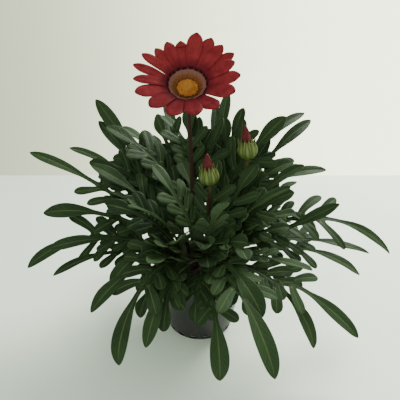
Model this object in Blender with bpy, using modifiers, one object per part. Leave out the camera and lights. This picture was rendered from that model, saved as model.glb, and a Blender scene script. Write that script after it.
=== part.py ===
"""A potted gazania: nursery pot, peat, nine leafy shoots, one flower head and two buds."""
import math
import random

import bmesh
import bpy
from mathutils import Matrix, Vector

MM = 0.001
GAP = 0.3
SEED = 7

# Pot, in millimetres like every size below
RIM_RADIUS = 52.5
BASE_RADIUS = 37.5
POT_HEIGHT = 80.0
LIP_HEIGHT = 9.0
LIP_STEP = 2.0
WALL = 1.5
FLOOR_LEVEL = 6.0
BOSS_RADIUS = 12.0
POT_SIDES = 32
SLOT_COUNT = 16
SLOT_WIDTH = 8.0
SLOT_BOTTOM = 1.8
SLOT_TOP = 5.2

# Soil and the stems' holes in it
SOIL_TOP = 67.0
SOIL_DOME = 3.0
SOIL_LUMP = 1.2
SOIL_SIDES = 20
HOLE_BOTTOM = 44.0
HOLE_TOP = SOIL_TOP + 12
HOLE_SIDES = 8

# Leaves
BLADE = 0.8
FOLD = math.radians(14)
FACING_FRONT = math.radians(28)
PETIOLE_HALF_WIDTH = 1.7
WING_HALF_WIDTH = 2.4
TERMINAL_START = 0.58
FIRST_LOBE = 0.28
LOBE_FORWARD = math.radians(50)
MIDRIB_STEPS = 60
# The blade sinks by this times the square of the distance from its midrib
ARCH = 0.006
TERMINAL_ROWS = (0.7, 0.84, 0.96)
# A side lobe's rows: share of its reach, half width as a share of its width
LOBE_ROWS = ((0.66, 0.5), (1, 0.22))

# Flower head, in its own frame with +Z along the way it faces
HEAD_CENTRE = (-10.5, -47, 280)
HEAD_TILT = math.radians(42)
CUP_DEPTH = 14.0
CUP_RADIUS = 9.0
RING_RADIUS = 12.0
RING_THICKNESS = 2.0
DISC_RADIUS = 8.2
DISC_HEIGHT = 6.0
HEAD_SIDES = 24
CUP_SIDES = 16
# The disc's crossing spirals: how many, their turn for each millimetre outwards, and their height
SPIRALS = 8
SPIRAL_TURN = 1.6
SPIRAL_HEIGHT = 0.35
# A petal: its angle round the head, how far out its tip is, its width, and its lift over its neighbours
PETALS = (
    (0, 43, 13, 0), (19, 41, 12, 1), (32, 45, 11, 0), (46, 42, 12, 1), (63, 44, 13, 0), (80, 44, 14, 1),
    (100, 36, 12, 0), (118, 38, 11, 1), (134, 39, 10, 0), (149, 43, 9, 1), (166, 45, 9, 0), (184, 43, 9, 1),
    (203, 44, 13, 0), (228, 42, 14, 1), (254, 41, 15, 0), (280, 40, 15, 1), (306, 40, 14, 0), (334, 42, 15, 1),
)
PETAL_LIFT = 1.6

# A shoot: foot on the soil, way and angle it leans, height of its stem, then its leaves.
# A leaf: share of the stem, azimuth, rise at the root, slope at the tip, length, width, lobe pairs, swerve.
SHOOTS = {
    "shoot_left": ((-21, -1), 178, 42, 46, (
        (0.95, 166, 46, 10, 190, 14, 3, -6),
        (0.80, 175, 40, -15, 155, 19, 2, -3),
        (0.60, 184, 28, -18, 142, 17, 3, 3),
        (0.45, 179, 36, -47, 192, 14, 3, 0),
        (0.30, 189, 33, -35, 148, 15, 3, 2),
        (0.90, 178, 76, 22, 124, 16, 3, 0),
    )),
    "shoot_left_back": ((-17, 12), 147, 28, 58, (
        (0.70, 153, 53, 0, 185, 13, 3, -4),
        (0.95, 147, 56, 40, 172, 17, 3, -4),
        (0.85, 143, 51, 28, 165, 15, 3, -4),
        (0.50, 152, 78, 3, 140, 17, 3, 5),
        (0.60, 152, 66, 45, 124, 15, 2, 4),
    )),
    "shoot_back_left": ((-8, 21), 110, 25, 56, (
        (0.80, 107, 75, 20, 175, 13, 3, 2),
        (0.95, 110, 65, 30, 140, 15, 3, 0),
        (0.60, 110, 50, -5, 150, 15, 3, 0),
        (0.40, 103, 40, -30, 150, 15, 2, 0),
        (0.30, 120, 30, -40, 145, 15, 3, 0),
    )),
    "shoot_back_right": ((8, 21), 74, 25, 56, (
        (0.90, 83, 78, 40, 150, 12, 3, 0),
        (0.95, 74, 70, 45, 160, 14, 3, 0),
        (0.60, 78, 50, -5, 150, 15, 3, 0),
        (0.40, 70, 40, -30, 150, 15, 2, 0),
        (0.30, 86, 30, -40, 145, 14, 3, 0),
    )),
    "shoot_right_back": ((18, 12), 38, 28, 58, (
        (0.90, 34, 58, 15, 175, 15, 3, 6),
        (0.50, 34, 75, -7, 150, 13, 3, -8),
        (0.95, 40, 76, 5, 178, 12, 2, -2),
        (0.70, 23, 60, -12, 160, 13, 3, -4),
        (0.30, 40, 35, -40, 148, 15, 2, 0),
        (0.60, 34, 70, 45, 130, 15, 3, 0),
    )),
    "shoot_right": ((22, -1), 355, 42, 46, (
        (0.90, 358, 43, -52, 202, 13, 3, 5),
        (0.70, 354, 24, -23, 160, 14, 3, 4),
        (0.50, 358, 24, -44, 172, 15, 3, 6),
        (0.60, 347, 28, 36, 135, 14, 2, 0),
        (0.85, 352, 78, 30, 124, 15, 3, 0),
        (0.95, 3, 74, -60, 118, 13, 3, -4),
    )),
    "shoot_right_front": ((16, -14), 325, 42, 38, (
        (0.70, 330, 14, -47, 165, 16, 3, 6),
        (0.55, 323, 30, -78, 150, 16, 3, 0),
        (0.95, 318, 28, 0, 104, 16, 3, 4),
        (0.85, 330, 80, 30, 122, 15, 3, 0),
    )),
    "shoot_front": ((4, -22), 280, 32, 32, (
        (0.40, 278, 32, -82, 134, 20, 3, 0),
        (0.90, 274, 55, 50, 76, 13, 2, 0),
        (0.60, 290, 48, -64, 168, 19, 3, 8),
        (0.85, 295, 55, -48, 118, 20, 2, 7),
        (0.95, 286, 82, 35, 118, 15, 3, 0),
        (0.70, 268, 76, 10, 100, 15, 3, 0),
    )),
    "shoot_left_front": ((-13, -17), 237, 38, 36, (
        (0.60, 240, 52, -90, 162, 17, 3, 0),
        (0.90, 212, 62, -65, 100, 15, 3, 0),
        (0.50, 254, 44, -60, 126, 15, 3, -4),
        (0.90, 252, 40, 20, 98, 15, 3, 0),
        (0.80, 228, 80, 25, 118, 15, 3, 0),
        (0.70, 224, 45, -45, 128, 15, 2, 0),
    )),
}
SHOOT_RADIUS = 3.0

# Flower stalks: half thickness and the points they pass, from the foot of the hole upwards
STALK_RADIUS = 2.0
HEAD_STALK = ((-3, 4, 46), (-3, 4, 74), (-5, 5, 110), (-8, 4, 160), (-9, -1, 210), (-10, -15, 246),
              (-10, -28, 262))
# A bud: foot, points of its stalk, cup bottom, cup top, tip of its petals
BUDS = {
    "bud_right": ((9, 4, 46), (9, 4, 74), (12, 4, 86), (27, 6, 118), (41, 8, 154), (46, 7, 180),
                  (50, 5, 203), (47, 3, 223), (43, 1, 238)),
    "bud_middle": ((4, -7, 46), (4, -7, 74), (7, -10, 110), (9, -13, 150), (10, -15, 172),
                   (10, -15, 182), (8, -16, 201), (5, -17, 214)),
}
BUD_RADIUS = 9.5
ROLL_SIDES = 12
ROLL_FURROWS = 3
ROLL_FURROW_DEPTH = 0.1
# Turn of the rolled petals, in radians for each metre of height
ROLL_TWIST = 60

COLOURS = {
    "pot": ((0.035, 0.037, 0.042), 0.45),
    "soil": ((0.045, 0.028, 0.018), 0.95),
    "leaf": ((0.045, 0.11, 0.035), 0.5),
    "stalk": ((0.10, 0.045, 0.03), 0.55),
    "petal": ((0.42, 0.02, 0.03), 0.6),
    "disc": ((0.55, 0.22, 0.03), 0.8),
}


def clear_scene():
    for item in list(bpy.data.objects):
        bpy.data.objects.remove(item, do_unlink=True)


def new_collection(name):
    group = bpy.data.collections.new(name)
    bpy.context.scene.collection.children.link(group)
    return group


def make_material(name, colour, roughness):
    material = bpy.data.materials.new(name)
    material.use_nodes = True
    shader = material.node_tree.nodes["Principled BSDF"]
    shader.inputs["Base Color"].default_value = (*colour, 1)
    shader.inputs["Roughness"].default_value = roughness
    shader.inputs["Metallic"].default_value = 0
    return material


def object_from(name, build, group):
    """An object whose mesh is filled by build(bm), which works in millimetres."""
    mesh = bpy.data.meshes.new(name)
    bm = bmesh.new()
    build(bm)
    bmesh.ops.scale(bm, vec=(MM, MM, MM), verts=bm.verts)
    bm.to_mesh(mesh)
    bm.free()
    item = bpy.data.objects.new(name, mesh)
    group.objects.link(item)
    return item


def freeze(item, group=None):
    """Apply the modifiers, or turn a curve into a welded mesh, and keep the object's name and place."""
    bpy.context.view_layer.update()
    graph = bpy.context.evaluated_depsgraph_get()
    mesh = bpy.data.meshes.new_from_object(item.evaluated_get(graph))
    bm = bmesh.new()
    bm.from_mesh(mesh)
    bmesh.ops.remove_doubles(bm, verts=bm.verts, dist=0.00001)
    bm.to_mesh(mesh)
    bm.free()
    name = item.name
    place = item.matrix_world.copy()
    home = group or item.users_collection[0]
    bpy.data.objects.remove(item, do_unlink=True)
    solid = bpy.data.objects.new(name, mesh)
    solid.matrix_world = place
    home.objects.link(solid)
    return solid


def faces_by_body(bm):
    """The mesh's faces in groups that hang together over shared edges, the largest group first."""
    groups = []
    seen = set()
    for start in bm.faces:
        if start in seen:
            continue
        seen.add(start)
        group = [start]
        for face in group:
            for edge in face.edges:
                fresh = [other for other in edge.link_faces if other not in seen]
                seen.update(fresh)
                group.extend(fresh)
        groups.append(group)
    return sorted(groups, key=len, reverse=True)


def drop_scraps(item):
    """Keep only the largest body of a fused mesh."""
    bm = bmesh.new()
    bm.from_mesh(item.data)
    for scrap in faces_by_body(bm)[1:]:
        bmesh.ops.delete(bm, geom=scrap, context="FACES")
    bm.to_mesh(item.data)
    bm.free()


def fuse(base, pieces, parts):
    """Join the pieces to the base with one Boolean union on a collection, and drop the collection."""
    joined = new_collection(base.name + "_pieces")
    for piece in pieces:
        for home in list(piece.users_collection):
            home.objects.unlink(piece)
        joined.objects.link(piece)
    union = base.modifiers.new("fuse", "BOOLEAN")
    union.operation = "UNION"
    union.operand_type = "COLLECTION"
    union.collection = joined
    union.solver = "MANIFOLD"
    solid = freeze(base, parts)
    for piece in list(joined.objects):
        bpy.data.objects.remove(piece, do_unlink=True)
    bpy.data.collections.remove(joined)
    drop_scraps(solid)
    return solid


def turned(name, profile, sides, group):
    """A profile of (radius, height) that runs down its outer side, turned about Z."""
    def build(bm):
        ring = [bm.verts.new((radius, 0, height)) for radius, height in profile]
        for lower, upper in zip(ring, ring[1:]):
            bm.edges.new((lower, upper))
    item = object_from(name, build, group)
    screw = item.modifiers.new("turn", "SCREW")
    screw.steps = sides
    screw.render_steps = sides
    screw.use_merge_vertices = True
    screw.merge_threshold = 0.00001
    return freeze(item)


def tube(name, points, radii, group):
    """A round stem through the points, in millimetres, with one radius for each point."""
    curve = bpy.data.curves.new(name, "CURVE")
    curve.dimensions = "3D"
    curve.bevel_depth = MM
    curve.bevel_resolution = 1
    curve.use_fill_caps = True
    spline = curve.splines.new("POLY")
    spline.points.add(len(points) - 1)
    for knot, point, radius in zip(spline.points, points, radii):
        knot.co = (*(Vector(point) * MM), 1)
        knot.radius = radius
    item = bpy.data.objects.new(name, curve)
    group.objects.link(item)
    return freeze(item)


def direction(azimuth, slope):
    level = math.cos(math.radians(slope))
    return Vector((level * math.cos(math.radians(azimuth)),
                   level * math.sin(math.radians(azimuth)),
                   math.sin(math.radians(slope))))


def bent_run(start, azimuth, rise, fall, swerve, length, steps):
    """Points and headings of a stem or midrib whose slope goes evenly from rise to fall."""
    points = [Vector(start)]
    headings = []
    for step in range(steps):
        share = (step + 0.5) / steps
        way = (azimuth + swerve * share, rise + (fall - rise) * share)
        headings.append(way)
        points.append(points[-1] + direction(*way) * length / steps)
    headings.append(headings[-1])
    return points, headings


def stem_run(shoot):
    (x, y), azimuth, lean, height, leaves = shoot
    return bent_run((x, y, SOIL_TOP), azimuth, 90, 90 - lean, 0, height, 5)[0]


def on_run(run, share):
    place = share * (len(run) - 1)
    index = min(int(place), len(run) - 2)
    return run[index].lerp(run[index + 1], place - index)


class Midrib:
    """Turns a place on the flat blade (share of the length, millimetres to the right) into space."""

    def __init__(self, start, azimuth, rise, fall, swerve, length):
        self.length = length
        self.points, self.headings = bent_run(start, azimuth, rise, fall, swerve, length, MIDRIB_STEPS)

    def place(self, share, across):
        share = min(max(share, 0), 1)
        index = min(int(share * MIDRIB_STEPS), MIDRIB_STEPS - 1)
        centre = on_run(self.points, share)
        azimuth, slope = self.headings[index]
        ahead = direction(azimuth, slope)
        flat_right = direction(azimuth - 90, 0)
        roll = -FACING_FRONT * math.cos(math.radians(self.headings[0][0]))
        right = flat_right * math.cos(roll) + flat_right.cross(ahead) * math.sin(roll)
        above = right.cross(ahead)
        arch = abs(across) * math.sin(FOLD) - across * across * ARCH
        return centre + right * across * math.cos(FOLD) + above * arch


def terminal_half_width(share, width):
    along = (share - TERMINAL_START) / (1 - TERMINAL_START)
    return max(WING_HALF_WIDTH * (1 - along), width / 2 * math.sin(math.pi * along ** 1.4) ** 0.6)


def leaf_rows(width, pairs):
    """Stations along the midrib with their half widths, and the row where each pair of lobes starts."""
    rows = [(0, PETIOLE_HALF_WIDTH), (0.2, PETIOLE_HALF_WIDTH)]
    starts = []
    pitch = (TERMINAL_START - FIRST_LOBE) / pairs
    for pair in range(pairs):
        starts.append(len(rows))
        station = FIRST_LOBE + pair * pitch
        rows.append((station, WING_HALF_WIDTH))
        rows.append((station + 0.5 * pitch, WING_HALF_WIDTH))
    rows.append((TERMINAL_START, WING_HALF_WIDTH))
    for share in TERMINAL_ROWS:
        rows.append((share, terminal_half_width(share, width)))
    return rows, starts


def add_side_lobe(bm, rib, side, inner, outer, station, reach, lobe_width):
    """One narrow blunt lobe on the strip's edge between the verts inner and outer."""
    ahead = math.cos(LOBE_FORWARD)
    out = math.sin(LOBE_FORWARD)
    back, front = inner, outer
    for reach_share, width_share in LOBE_ROWS:
        along = reach_share * reach
        half = width_share * lobe_width
        pair = []
        for off in (-half, half):
            share = station + (along * ahead + off * out) / rib.length
            across = WING_HALF_WIDTH + along * out - off * ahead
            pair.append(bm.verts.new(rib.place(share, side * across)))
        for face in ((back, pair[0], front), (pair[0], pair[1], front)):
            bm.faces.new(face if side > 0 else face[::-1])
        back, front = pair


def leaf(name, start, row, draw, group):
    """One lobed leaf: a strip that gets a fold along its midrib where its end lobe starts."""
    share, azimuth, rise, fall, length, width, pairs, swerve = row
    rib = Midrib(start, azimuth, rise, fall, swerve, length)
    rows, starts = leaf_rows(width, pairs)
    folded = starts[-1] + 2

    def build(bm):
        strip = []
        for order, (station, half) in enumerate(rows):
            sides = (-1, 0, 1) if order >= folded else (-1, 1)
            strip.append([bm.verts.new(rib.place(station, side * half)) for side in sides])
        tip = bm.verts.new(rib.place(1, 0))
        for near, far in zip(strip, strip[1:]):
            if len(near) == 3:
                bm.faces.new((near[0], near[1], far[1]))
                bm.faces.new((near[0], far[1], far[0]))
                bm.faces.new((near[1], near[2], far[1]))
                bm.faces.new((near[2], far[2], far[1]))
            elif len(far) == 3:
                bm.faces.new((near[0], near[1], far[1]))
                bm.faces.new((near[0], far[1], far[0]))
                bm.faces.new((near[1], far[2], far[1]))
            else:
                bm.faces.new((near[0], near[1], far[1]))
                bm.faces.new((near[0], far[1], far[0]))
        bm.faces.new((strip[-1][0], strip[-1][1], tip))
        bm.faces.new((strip[-1][1], strip[-1][2], tip))
        for order, first in enumerate(starts):
            for side in (-1, 1):
                reach = length * (0.15 + 0.05 * order / pairs) * draw.uniform(0.85, 1.2)
                lobe_width = min(max(0.62 * width, 7), 10) * draw.uniform(0.9, 1.1)
                edge = 0 if side < 0 else -1
                add_side_lobe(bm, rib, side, strip[first][edge], strip[first + 1][edge],
                              rows[first][0] + 0.01, reach, lobe_width)
    item = object_from(name, build, group)
    sheet = item.modifiers.new("blade", "SOLIDIFY")
    sheet.thickness = BLADE * MM
    sheet.offset = 0
    sheet.use_even_offset = True
    return freeze(item)


def make_shoot(name, shoot, draw, parts, work, material):
    (x, y), azimuth, lean, height, leaves = shoot
    run = stem_run(shoot)
    points = [Vector((x, y, HOLE_BOTTOM + 2)), *run]
    radii = [SHOOT_RADIUS] * 2 + [SHOOT_RADIUS * (1 - 0.08 * step) for step in range(1, len(run))]
    stem = tube(name, points, radii, work)
    blades = []
    for order, row in enumerate(leaves):
        blades.append(leaf(f"{name}_leaf_{order}", on_run(run, row[0]), row, draw, work))
    solid = fuse(stem, blades, parts)
    solid.data.materials.append(material)
    return solid


def wall_radius(height):
    """Outer radius of the pot's cone at a height."""
    below_lip = POT_HEIGHT - LIP_HEIGHT
    return BASE_RADIUS + (RIM_RADIUS - LIP_STEP - BASE_RADIUS) * min(height, below_lip) / below_lip


def make_pot(parts, cutters, material):
    floor_top = FLOOR_LEVEL + WALL
    shoulder = POT_HEIGHT - LIP_HEIGHT
    profile = (
        (0, floor_top),
        (wall_radius(floor_top) - WALL, floor_top),
        (wall_radius(shoulder) - WALL, shoulder),
        (RIM_RADIUS - WALL, shoulder + LIP_STEP),
        (RIM_RADIUS - WALL, POT_HEIGHT - 0.5),
        (RIM_RADIUS - 0.75, POT_HEIGHT),
        (RIM_RADIUS, POT_HEIGHT - 0.5),
        (RIM_RADIUS, shoulder + 0.5),
        (wall_radius(shoulder), shoulder),
        (BASE_RADIUS, 0),
        (BASE_RADIUS - WALL, 0),
        (wall_radius(FLOOR_LEVEL) - WALL, FLOOR_LEVEL),
        (BOSS_RADIUS + 1, FLOOR_LEVEL),
        (BOSS_RADIUS, 0),
        (0, 0),
    )
    pot = turned("pot", profile, POT_SIDES, parts)

    def build(bm):
        for index in range(SLOT_COUNT):
            turn = Matrix.Rotation(2 * math.pi * (index + 0.5) / SLOT_COUNT, 4, "Z")
            size = Matrix.Diagonal((8, SLOT_WIDTH, SLOT_TOP - SLOT_BOTTOM, 1))
            move = Matrix.Translation((BASE_RADIUS - WALL / 2, 0, (SLOT_TOP + SLOT_BOTTOM) / 2))
            bmesh.ops.create_cube(bm, size=1, matrix=turn @ move @ size)
    slots = object_from("pot_slots", build, cutters)
    slots.hide_render = True
    slots.display_type = "WIRE"
    cut = pot.modifiers.new("slots", "BOOLEAN")
    cut.operation = "DIFFERENCE"
    cut.object = slots
    pot.data.materials.append(material)


def feet():
    """Place and radius of every stem where it enters the soil."""
    spots = [(shoot[0], SHOOT_RADIUS) for shoot in SHOOTS.values()]
    spots.append((HEAD_STALK[0][:2], STALK_RADIUS))
    spots.extend((bud[0][:2], STALK_RADIUS) for bud in BUDS.values())
    return spots


def make_soil(parts, cutters, material):
    floor = FLOOR_LEVEL + WALL + GAP
    edge = wall_radius(SOIL_TOP) - WALL - GAP
    profile = [(0, SOIL_TOP + SOIL_DOME)]
    for share in (0.25, 0.5, 0.75):
        profile.append((edge * share, SOIL_TOP + SOIL_DOME * (1 - share * share)))
    profile.extend(((edge, SOIL_TOP), (wall_radius(floor) - WALL - GAP, floor), (0, floor)))
    soil = turned("soil", profile, SOIL_SIDES, parts)
    draw = random.Random(SEED)
    for vertex in soil.data.vertices:
        radius = math.hypot(vertex.co.x, vertex.co.y) / MM
        if vertex.co.z > (SOIL_TOP - 1) * MM and radius < edge - 1:
            vertex.co.z += draw.uniform(-SOIL_LUMP, SOIL_LUMP) * MM

    def build(bm):
        for (x, y), radius in feet():
            depth = HOLE_TOP - HOLE_BOTTOM
            move = Matrix.Translation((x, y, HOLE_BOTTOM + depth / 2))
            bmesh.ops.create_cone(bm, cap_ends=True, segments=HOLE_SIDES, radius1=radius + 2 * GAP,
                                  radius2=radius + 2 * GAP, depth=depth, matrix=move)
    holes = object_from("soil_holes", build, cutters)
    holes.hide_render = True
    holes.display_type = "WIRE"
    cut = soil.modifiers.new("holes", "BOOLEAN")
    cut.operation = "DIFFERENCE"
    cut.object = holes
    soil.data.materials.append(material)


def facing(centre, way):
    """Matrix that puts +Z along way and the origin at centre, given in millimetres."""
    turn = Vector(way).to_track_quat("Z", "Y").to_matrix().to_4x4()
    return Matrix.Translation(Vector(centre) * MM) @ turn


def head_matrix():
    return Matrix.Translation(Vector(HEAD_CENTRE) * MM) @ Matrix.Rotation(HEAD_TILT, 4, "X")


def cup_profile(radius, depth):
    return ((0, 0), (radius, 0), (radius * 1.05, -0.25 * depth), (radius * 0.85, -0.6 * depth),
            (radius * 0.45, -0.9 * depth), (0, -depth))


def make_head_stalk(parts, work, material):
    head = head_matrix()
    end = head @ Vector((0, 0, -(CUP_DEPTH - 2) * MM)) / MM
    run = [*HEAD_STALK, end]
    stalk = tube("flower_stalk", run, [STALK_RADIUS] * len(run), work)
    cup = turned("flower_cup", cup_profile(CUP_RADIUS, CUP_DEPTH), CUP_SIDES, work)
    cup.data.transform(head)
    solid = fuse(stalk, [cup], parts)
    solid.data.materials.append(material)


def petal(name, row, group):
    """One ray petal, from rows of (distance out, height, breadth) that rise from the ring."""
    angle, reach, width, layer = row
    turn = Matrix.Rotation(math.radians(angle), 4, "Z")
    lift = PETAL_LIFT * layer
    rows = ((10, 1.2, 3.4), (15, 7 + 0.2 * lift, 4.6), (23, 12 + lift, 0.75 * width),
            (33, 16 + lift, width), (0.92 * reach, 18.5 + lift, 0.62 * width))

    def build(bm):
        strip = []
        for out, height, breadth in rows:
            points = ((out, side * breadth / 2, height - 0.3 * abs(side)) for side in (-1, 0, 1))
            strip.append([bm.verts.new(turn @ Vector(point)) for point in points])
        tip = bm.verts.new(turn @ Vector((reach, 0, 19 + lift)))
        for near, far in zip(strip, strip[1:]):
            bm.faces.new((near[0], far[1], near[1]))
            bm.faces.new((near[0], far[0], far[1]))
            bm.faces.new((near[1], far[1], near[2]))
            bm.faces.new((near[2], far[1], far[2]))
        bm.faces.new((strip[-1][0], tip, strip[-1][1]))
        bm.faces.new((strip[-1][1], tip, strip[-1][2]))
    item = object_from(name, build, group)
    sheet = item.modifiers.new("blade", "SOLIDIFY")
    sheet.thickness = BLADE * MM
    sheet.offset = 0
    return freeze(item)


def make_rays(parts, work, material):
    low = GAP
    high = GAP + RING_THICKNESS
    inner = DISC_RADIUS + GAP
    profile = ((inner, low), (inner, high), (RING_RADIUS, high), (RING_RADIUS, low), (inner, low))
    ring = turned("flower_rays", profile, HEAD_SIDES, work)
    petals = [petal(f"petal_{index}", row, work) for index, row in enumerate(PETALS)]
    rays = fuse(ring, petals, parts)
    rays.data.transform(head_matrix())
    rays.data.materials.append(material)


def make_disc(parts, material):
    """A low dome whose surface is raised into florets along a sunflower spiral."""
    profile = [(0, DISC_HEIGHT)]
    for share in (0.2, 0.4, 0.6, 0.8, 0.93):
        profile.append((DISC_RADIUS * share, DISC_HEIGHT * math.sqrt(1 - 0.8 * share * share)))
    profile.extend(((DISC_RADIUS, 0.45 * DISC_HEIGHT), (DISC_RADIUS, GAP), (0, GAP)))
    disc = turned("flower_disc", profile, HEAD_SIDES, parts)
    for vertex in disc.data.vertices:
        if vertex.co.z > 0.46 * DISC_HEIGHT * MM:
            angle = math.atan2(vertex.co.y, vertex.co.x)
            radius = math.hypot(vertex.co.x, vertex.co.y) / MM
            shift = SPIRAL_TURN * radius
            ridge = math.cos(SPIRALS * angle + shift) * math.cos(SPIRALS * angle - shift)
            vertex.co.z += SPIRAL_HEIGHT * ridge * MM
    disc.data.transform(head_matrix())
    disc.data.materials.append(material)


def make_bud(name, points, parts, work, stalk_material, petal_material):
    *stalk_points, bottom, top, tip = points
    rise = Vector(top) - Vector(bottom)
    cup_matrix = facing(top, rise)
    run = [*stalk_points, Vector(bottom) + rise * 0.1]
    stalk = tube(name + "_stalk", run, [0.9 * STALK_RADIUS] * len(run), work)
    depth = rise.length
    cup_shape = ((0, -0.3 * depth), (0.5 * BUD_RADIUS, -0.3 * depth), (0.62 * BUD_RADIUS, 0),
                 (0.75 * BUD_RADIUS, 0), (BUD_RADIUS, -0.45 * depth), (0.8 * BUD_RADIUS, -0.75 * depth),
                 (0.4 * BUD_RADIUS, -depth), (0, -1.05 * depth))
    cup = turned(name + "_cup", cup_shape, CUP_SIDES, work)
    cup.data.transform(cup_matrix)
    solid = fuse(stalk, [cup], parts)
    solid.data.materials.append(stalk_material)
    reach = (Vector(tip) - Vector(top)).length
    root = 0.5 * BUD_RADIUS - GAP
    roll = ((0, reach), (0.18 * root, reach - 0.5), (0.62 * root, 0.55 * reach), (0.95 * root, 0.15 * reach),
            (root, -0.1 * depth), (root * 0.9, -0.3 * depth + GAP), (0, -0.3 * depth + GAP))
    petals = turned(name + "_petals", roll, ROLL_SIDES, parts)
    for vertex in petals.data.vertices:
        vertex.co = Matrix.Rotation(ROLL_TWIST * vertex.co.z, 4, "Z") @ vertex.co
        angle = math.atan2(vertex.co.y, vertex.co.x)
        furrow = 1 - ROLL_FURROW_DEPTH * (0.5 + 0.5 * math.cos(ROLL_FURROWS * angle))
        vertex.co.x *= furrow
        vertex.co.y *= furrow
    petals.data.transform(cup_matrix)
    petals.data.materials.append(petal_material)


def main():
    clear_scene()
    parts = new_collection("gazania_in_pot")
    cutters = new_collection("cutters")
    work = new_collection("work")
    finish = {name: make_material(name, *look) for name, look in COLOURS.items()}
    make_pot(parts, cutters, finish["pot"])
    make_soil(parts, cutters, finish["soil"])
    draw = random.Random(SEED)
    for name, shoot in SHOOTS.items():
        make_shoot(name, shoot, draw, parts, work, finish["leaf"])
    make_head_stalk(parts, work, finish["stalk"])
    make_rays(parts, work, finish["petal"])
    make_disc(parts, finish["disc"])
    for name, points in BUDS.items():
        make_bud(name, points, parts, work, finish["stalk"], finish["petal"])


main()
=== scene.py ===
"""Potted gazania for the render: fine leaves, ray petals, florets, buds, moulded pot and peat."""
import math
import random

import bmesh
import bpy
from mathutils import Matrix, Vector, noise


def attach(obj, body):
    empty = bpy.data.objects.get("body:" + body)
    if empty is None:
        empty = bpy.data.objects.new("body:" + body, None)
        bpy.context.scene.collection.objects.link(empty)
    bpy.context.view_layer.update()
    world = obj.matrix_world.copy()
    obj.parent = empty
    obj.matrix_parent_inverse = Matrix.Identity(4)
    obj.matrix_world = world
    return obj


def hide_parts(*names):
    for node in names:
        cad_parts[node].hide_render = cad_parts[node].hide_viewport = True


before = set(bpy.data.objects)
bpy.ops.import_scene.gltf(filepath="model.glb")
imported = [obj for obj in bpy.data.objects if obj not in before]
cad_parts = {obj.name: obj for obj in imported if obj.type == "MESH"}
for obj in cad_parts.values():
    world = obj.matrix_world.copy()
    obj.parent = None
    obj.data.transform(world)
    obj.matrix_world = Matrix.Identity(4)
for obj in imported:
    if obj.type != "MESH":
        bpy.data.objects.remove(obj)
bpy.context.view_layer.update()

MM = 0.001
GAP = 0.3
SEED = 7
LOOK_SEED = 23

# Pot and soil, in millimetres like every size below
RIM_RADIUS = 52.5
BASE_RADIUS = 37.5
POT_HEIGHT = 80.0
LIP_HEIGHT = 9.0
LIP_STEP = 2.0
WALL = 1.5
FLOOR_LEVEL = 6.0
BOSS_RADIUS = 12.0
POT_SIDES = 128
SLOT_COUNT = 16
SLOT_WIDTH = 8.0
SLOT_BOTTOM = 1.8
SLOT_TOP = 5.2
SOIL_TOP = 67.0
SOIL_DOME = 3.0
SOIL_SIDES = 88
SOIL_RINGS = 30
CRUMBS = 300

# Leaves
BLADE = 0.55
FOLD = math.radians(14)
ARCH = 0.006
FACING_FRONT = math.radians(28)
PETIOLE_HALF_WIDTH = 1.7
WING_HALF_WIDTH = 2.4
TERMINAL_START = 0.58
FIRST_LOBE = 0.28
LOBE_FORWARD = math.radians(50)
MIDRIB_STEPS = 60
MIDRIB_RINGS = 34
STEM_STEPS = 5
CREASE = 0.7
COLUMNS = (-1, -0.5, 0, 0.5, 1)
# Rows of the leaf's stalk: share of the leaf, half width as a share of the stalk's
PETIOLE_ROWS = ((0, 1.3), (0.07, 1), (0.15, 1), (0.22, 1))
# Rows of the end lobe, as shares of its own length
TERMINAL_ROWS = (0.12, 0.26, 0.43, 0.595, 0.76, 0.88, 0.965)
# A side lobe's rows: share of its reach, half width as a share of its width
LOBE_ROWS = ((0.2, 0.40), (0.48, 0.53), (0.74, 0.63), (0.92, 0.46), (1, 0.12))
# How far a side lobe bends down or up, hooks sideways and twists, by its reach
LOBE_BEND = (-0.12, 0.06)
LOBE_HOOK = (-0.05, 0.12)
LOBE_TWIST = (-0.25, 0.25)
RIPPLE = 0.7
WAVES = (2.5, 4.5)
TWIST = math.radians(24)
TILT = math.radians(8)
INNER_TILT = math.radians(35)
# Where the side lobes start and the end lobe starts, and the first lobe's reach, all by the leaf's length
OUTER_LOBES = (FIRST_LOBE, TERMINAL_START, 0.15)
INNER_LOBES = (0.38, 0.72, 0.19)
INNER_PAIRS = 3
INNER_SWERVE = 16

# Flower head, in its own frame with +Z along the way it faces
HEAD_CENTRE = (-10.5, -47, 280)
HEAD_TILT = math.radians(42)
CUP_DEPTH = 14.0
CUP_RADIUS = 9.0
RING_RADIUS = 12.0
DISC_RADIUS = 8.2
DISC_HEIGHT = 6.0
FLORETS = 230
FLORET_PITCH = 0.56
FLORET_SIDES = 10
GOLDEN_ANGLE = math.radians(137.508)
FILAMENTS = 46
HEAD_BRACTS = 11
# A petal: its angle round the head, how far out its tip is, its width, and its lift over its neighbours
PETALS = (
    (0, 43, 13, 0), (19, 41, 12, 1), (32, 45, 11, 0), (46, 42, 12, 1), (63, 44, 13, 0), (80, 44, 14, 1),
    (100, 36, 12, 0), (118, 38, 11, 1), (134, 39, 10, 0), (149, 43, 9, 1), (166, 45, 9, 0), (184, 43, 9, 1),
    (203, 44, 13, 0), (228, 42, 14, 1), (254, 41, 15, 0), (280, 40, 15, 1), (306, 40, 14, 0), (334, 42, 15, 1),
)
PETAL_LIFT = 1.6
# Share of a petal's tint that is drawn; the rest is painted shade that deepens the petals at the front and
# painted light that brightens those at the back
PETAL_DRAWN_SHARE = 0.35

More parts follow.
